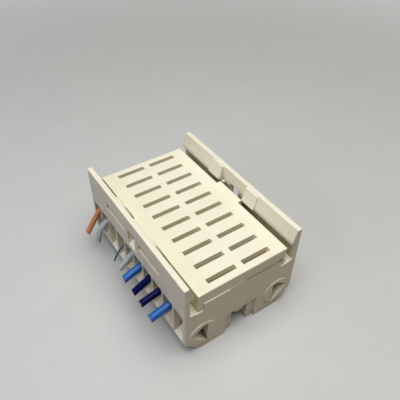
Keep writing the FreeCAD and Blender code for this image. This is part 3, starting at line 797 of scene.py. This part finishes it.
    def strands(self) -> bpy.types.Object:
        """Build the conductor: one straight middle strand and rings of strands that wind round it.

        A strand's middle lies on a helix of its ring's radius, one turn to each lay, and its skin is a
        circle round that. The strands of a ring are evenly spread, and their cut ends differ a little.

        Returns:
            The bundle's object.
        """
        detail = self.detail
        counts = [1] + [detail.ring_strands * ring for ring in range(1, self.gauge.rings + 1)]
        ring = np.repeat(np.arange(len(counts), dtype=float), counts)
        spread = np.concatenate([np.arange(count) * math.tau / count for count in counts])
        radius = self.gauge.core_radius / (2 * self.gauge.rings + 1)
        ragged = np.random.default_rng(self.pole).random(len(ring))
        cut = self.course().end + detail.strand_overhang + detail.strand_spread * ragged
        rows, columns = detail.strand_rows, detail.strand_columns
        share = np.linspace(0.0, 1.0, rows)
        length = -detail.core_inside + (cut[:, None] + detail.core_inside) * share
        wind = spread[:, None] + math.tau * length / detail.strand_lay
        rise = ring[:, None] * 2 * radius * np.cos(wind)
        side = ring[:, None] * 2 * radius * np.sin(wind)
        angle = np.arange(columns) * math.tau / columns
        skin = self.carry(
            length[..., None],
            rise[..., None] + detail.strand_fill * radius * np.cos(angle),
            side[..., None] + detail.strand_fill * radius * np.sin(angle))
        tips = self.carry(length[:, [0, -1]], rise[:, [0, -1]], side[:, [0, -1]])
        points = np.concatenate([skin.reshape(-1, 3), tips.reshape(-1, 3)])
        first = (np.arange(len(ring)) * rows * columns)[:, None, None]
        walls = (grid_faces(rows, columns, False)[None] + first).reshape(-1, 4)
        column = np.arange(columns)
        beside = (column + 1) % columns
        tip = len(ring) * rows * columns + 2 * np.arange(len(ring))[:, None]
        base = first[:, :, 0]
        last = base + (rows - 1) * columns
        caps = np.concatenate([
            np.stack(np.broadcast_arrays(tip, base + beside, base + column), axis=-1),
            np.stack(np.broadcast_arrays(tip + 1, last + column, last + beside), axis=-1),
        ]).reshape(-1, 3)
        return make_piece(f"{self.prefix}_strands", points, walls.tolist() + caps.tolist())

    def build(self, copper: bpy.types.Material, insulation: bpy.types.Material) -> None:
        """Build and dress both pieces in place of the plain sleeve and conductor.

        Args:
            copper: Material of the strands.
            insulation: Material of the sleeve.
        """
        for piece, node, material, slot in (
            (self.sleeve(), f"{self.prefix}_sleeve", insulation, self.tint.slot),
            (self.strands(), f"{self.prefix}_core", copper, "copper"),
        ):
            dress(piece, material)
            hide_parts(node)
            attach(piece, BLOCK)
            log.info("%s stands for %s", piece.name, node)


@dataclass(frozen=True)
class WireRow:
    """The eight cut wires of the block, from the far pole to the near one."""

    wires: tuple[CutWire, ...] = (
        CutWire(1, Gauge.SLIM, Tint.ORANGE, 10.0 * MM, 6 * MM, 55.8, 14.5 * MM, cut=25.0),
        CutWire(2, Gauge.SLIM, Tint.GREY, 13.0 * MM, 12 * MM, 74.4, 12.0 * MM, cut=40.0),
        CutWire(4, Gauge.THIN, Tint.TEAL, 13.4 * MM, 12.2 * MM, 54.8, 7.1 * MM, cut=10.0, swing=14.0),
        CutWire(5, Gauge.SLIM, Tint.GREY, 7.9 * MM, 6 * MM, 40.8, 11.6 * MM, cut=24.0),
        CutWire(6, Gauge.THICK, Tint.LIGHT_BLUE, 9.4 * MM, 12 * MM, 14.0, 10 * MM, cut=14.0, swing=5.4),
        CutWire(7, Gauge.MIDDLE, Tint.DARK_BLUE, 7.8 * MM, 10 * MM, 27.4, 11.7 * MM, cut=20.0),
        CutWire(8, Gauge.MIDDLE, Tint.DARK_BLUE, 6.6 * MM, 12 * MM, 13.8, 12.7 * MM, cut=10.0),
        CutWire(9, Gauge.THICK, Tint.LIGHT_BLUE, 8.9 * MM, 12 * MM, 15.9, 10.6 * MM, cut=6.0),
    )
    copper: DrawnMetal = DrawnMetal(
        "cut_copper", srgb(222, 152, 112), srgb(176, 98, 62), (900.0, 900.0, 900.0), 0.32)

    def build(self) -> None:
        """Build every wire with one copper and one insulation for each colour."""
        copper = self.copper.material()
        insulation = {tint: tint.value.material() for tint in Tint}
        for wire in self.wires:
            wire.build(copper, insulation[wire.tint])


@dataclass(frozen=True)
class MouldedBody:
    """The two moulded pieces: the housing and the slotted cover."""

    housing: MouldedPlastic = MouldedPlastic(
        "housing_ivory",
        surface_marks=(
            SurfaceMark((-8.3 * MM, -40.5 * MM, 1.3 * MM), 0.95 * MM, srgb(255, 254, 250)),
            SurfaceMark((8.1 * MM, -40.5 * MM, 1.6 * MM), 0.85 * MM, srgb(250, 248, 242)),
            # Painted shadow: two dark streaks along the seam under the cover's end skirt, on its right
            # half.
            SurfaceMark((6.4 * MM, -40.4 * MM, 29.3 * MM), 0.36 * MM, srgb(176, 166, 138), reach=13.0 * MM),
            SurfaceMark((9.9 * MM, -40.4 * MM, 29.3 * MM), 0.36 * MM, srgb(122, 112, 90), reach=9.0 * MM),
            # Painted shade: a near-black spot for a small pit at the right end of the cover's end skirt.
            SurfaceMark((19.1 * MM, -40.4 * MM, 29.1 * MM), 0.80 * MM, srgb(46, 38, 26)),
            SurfaceMark((24.7 * MM, -36.9 * MM, 39.2 * MM), 0.90 * MM, srgb(204, 197, 164)),
        ),
    )
    cover: MouldedPlastic = MouldedPlastic(
        "cover_ivory",
        tone=srgb(239, 234, 212),
        # Painted shade: a warm tint laid into the cover's slots and sheltered walls, standing in for
        # warm light bounced between them; the mould lines take this colour too.
        shade_and_mould_line_tone=srgb(250, 226, 158),
        painted_shade_share=0.52,
        mould_lines=(1.6 * MM, 14.95 * MM),
        # Painted shade: a near-black spot for a small pit at the right end of the end skirt.
        surface_marks=(SurfaceMark((19.1 * MM, -40.2 * MM, 29.5 * MM), 0.80 * MM, srgb(46, 38, 26)),),
    )

    def build(self, nodes: Mapping[str, bpy.types.Object]) -> None:
        """Dress both moulded nodes.

        Args:
            nodes: The CAD nodes by name.
        """
        for node, plastic in (("housing", self.housing), ("slotted_cover", self.cover)):
            dress(nodes[node], plastic.material())
            log.info("%s is dressed in %s", node, plastic.name)


@dataclass(frozen=True)
class ClampRow:
    """The metal inside the block: a current bar and two clamp springs for each pole."""

    brass: DrawnMetal = DrawnMetal(
        "drawn_brass", srgb(214, 178, 108), srgb(150, 114, 62), (60.0, 2400.0, 2400.0), 0.28)
    steel: DrawnMetal = DrawnMetal(
        "rolled_steel", srgb(196, 196, 198), srgb(138, 136, 132), (60.0, 2600.0, 60.0), 0.26)

    def build(self, nodes: Mapping[str, bpy.types.Object]) -> None:
        """Dress every bar in brass and every spring in steel.

        Args:
            nodes: The CAD nodes by name.
        """
        finishes = {"current_bar": self.brass.material(), "clamp_spring": self.steel.material()}
        for name, node in nodes.items():
            for start, material in finishes.items():
                if name.startswith(start):
                    dress(node, material)
                    log.info("%s is dressed in %s", name, material.name)


@dataclass(frozen=True)
class Lamp:
    """One soft lamp that is turned towards the block."""

    name: str
    place: Place
    size: float
    watts: float
    colour: tuple[float, float, float]

    def build(self, aim: Vector) -> None:
        """Add the lamp.

        Args:
            aim: The point that the lamp faces.
        """
        light = bpy.data.lights.new(self.name, "AREA")
        light.shape = "DISK"
        light.size = self.size
        light.energy = self.watts
        light.color = self.colour
        lamp = bpy.data.objects.new(self.name, light)
        lamp.location = self.place
        lamp.rotation_euler = (aim - Vector(self.place)).to_track_quat("-Z", "Y").to_euler()
        bpy.context.scene.collection.objects.link(lamp)
        log.info("%s gives %.2f W", self.name, self.watts)


@dataclass(frozen=True)
class Studio:
    """The pale floor and backdrop, the soft lamps, the dim light of the room and the camera."""

    floor_half: float = 1.5
    floor_drop: float = 0.02 * MM
    floor_tone: Colour = srgb(206, 206, 204)
    floor_shade: Colour = srgb(190, 190, 188)
    floor_bounce: Colour = srgb(118, 102, 84)
    floor_mottle: Pattern = Pattern(40.0, 4.0)
    mottle_share: float = 0.5
    floor_edge: Band = (0.16, 0.60)
    floor_roughness: float = 0.9
    room: Colour = srgb(23, 22, 22)
    lamps: tuple[Lamp, ...] = (
        Lamp("overhead_softbox", (-0.01, -0.08, 0.60), 0.64, 4.12, (1.0, 0.995, 0.960)),
        Lamp("left_fill", (-0.55, -0.05, 0.34), 0.40, 1.00, (0.72, 0.76, 1.0)),
    )
    aim: Place = (0.0, 0.0, 0.02)
    lens: float = 40.61
    sensor: float = 36.0
    nearest: float = 0.01
    eye: Place = (-0.076336, -0.118653, 0.169261)
    tilt: Place = (47.693, -0.890, -34.090)

    def build(self) -> None:
        """Build the stage and the camera."""
        self._floor()
        self._surround()
        for lamp in self.lamps:
            lamp.build(Vector(self.aim))
        self._camera()

    def _floor(self) -> None:
        """Lay a flat floor just under the base, pale to look at but with the weak bounce of a dark one.

        Away from the part the floor passes into the even tone of the backdrop.
        """
        edge = np.array([-self.floor_half, self.floor_half])
        across, along = np.meshgrid(edge, edge, indexing="ij")
        points = np.stack([across, along, np.full_like(across, -self.floor_drop)], axis=-1)
        floor = make_piece("pale_floor", points, [[0, 2, 3, 1]])
        tree = FinishTree("pale_floor")
        place = tree.place()
        seen = tree.seen()
        far = tree.distance(place, tree.vector(0.0, 0.0, 0.0)).fade(*self.floor_edge)
        mottle = tree.noise(place, self.floor_mottle) * self.mottle_share
        tone = tree.blend(mottle, self.floor_tone, self.floor_shade)
        near_tone = tree.blend(seen, self.floor_bounce, tone)
        dress(floor, tree.finish(
            base_color=tree.blend(far, near_tone, BLACK),
            emission_color=tree.blend(far * seen, BLACK, self.floor_tone),
            emission_strength=1.0,
            specular_ior_level=0.0,
            roughness=self.floor_roughness,
        ))

    def _surround(self) -> None:
        """Surround the stage with a backdrop that looks pale but only gives the dim light of a room."""
        world = bpy.data.worlds.new("studio_surround")
        bpy.context.scene.world = world
        world.use_nodes = True
        graph = NodeGraph(world.node_tree)
        dim, pale = (
            graph.signal("ShaderNodeBackground", {}, {"Color": colour, "Strength": 1.0})
            for colour in (self.room, self.floor_tone))
        surround = graph.signal("ShaderNodeMixShader", {}, {0: graph.seen(), 1: dim, 2: pale})
        graph.node("ShaderNodeOutputWorld", {}, {"Surface": surround})

    def _camera(self) -> None:
        """Stand the camera where the photograph was taken from."""
        data = bpy.data.cameras.new("camera")
        data.sensor_width = self.sensor
        data.lens = self.lens
        data.clip_start = self.nearest
        camera = bpy.data.objects.new("camera", data)
        camera.location = self.eye
        camera.rotation_euler = [math.radians(angle) for angle in self.tilt]
        bpy.context.scene.collection.objects.link(camera)
        bpy.context.scene.camera = camera
        bpy.context.scene.view_settings.view_transform = "Standard"


def main() -> None:
    """Build the stage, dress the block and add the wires."""
    logging.basicConfig(level=logging.INFO, format="%(name)s: %(message)s")
    Studio().build()
    MouldedBody().build(frame["nodes"])
    ClampRow().build(frame["nodes"])
    WireRow().build()


if __name__ == "__main__":
    main()
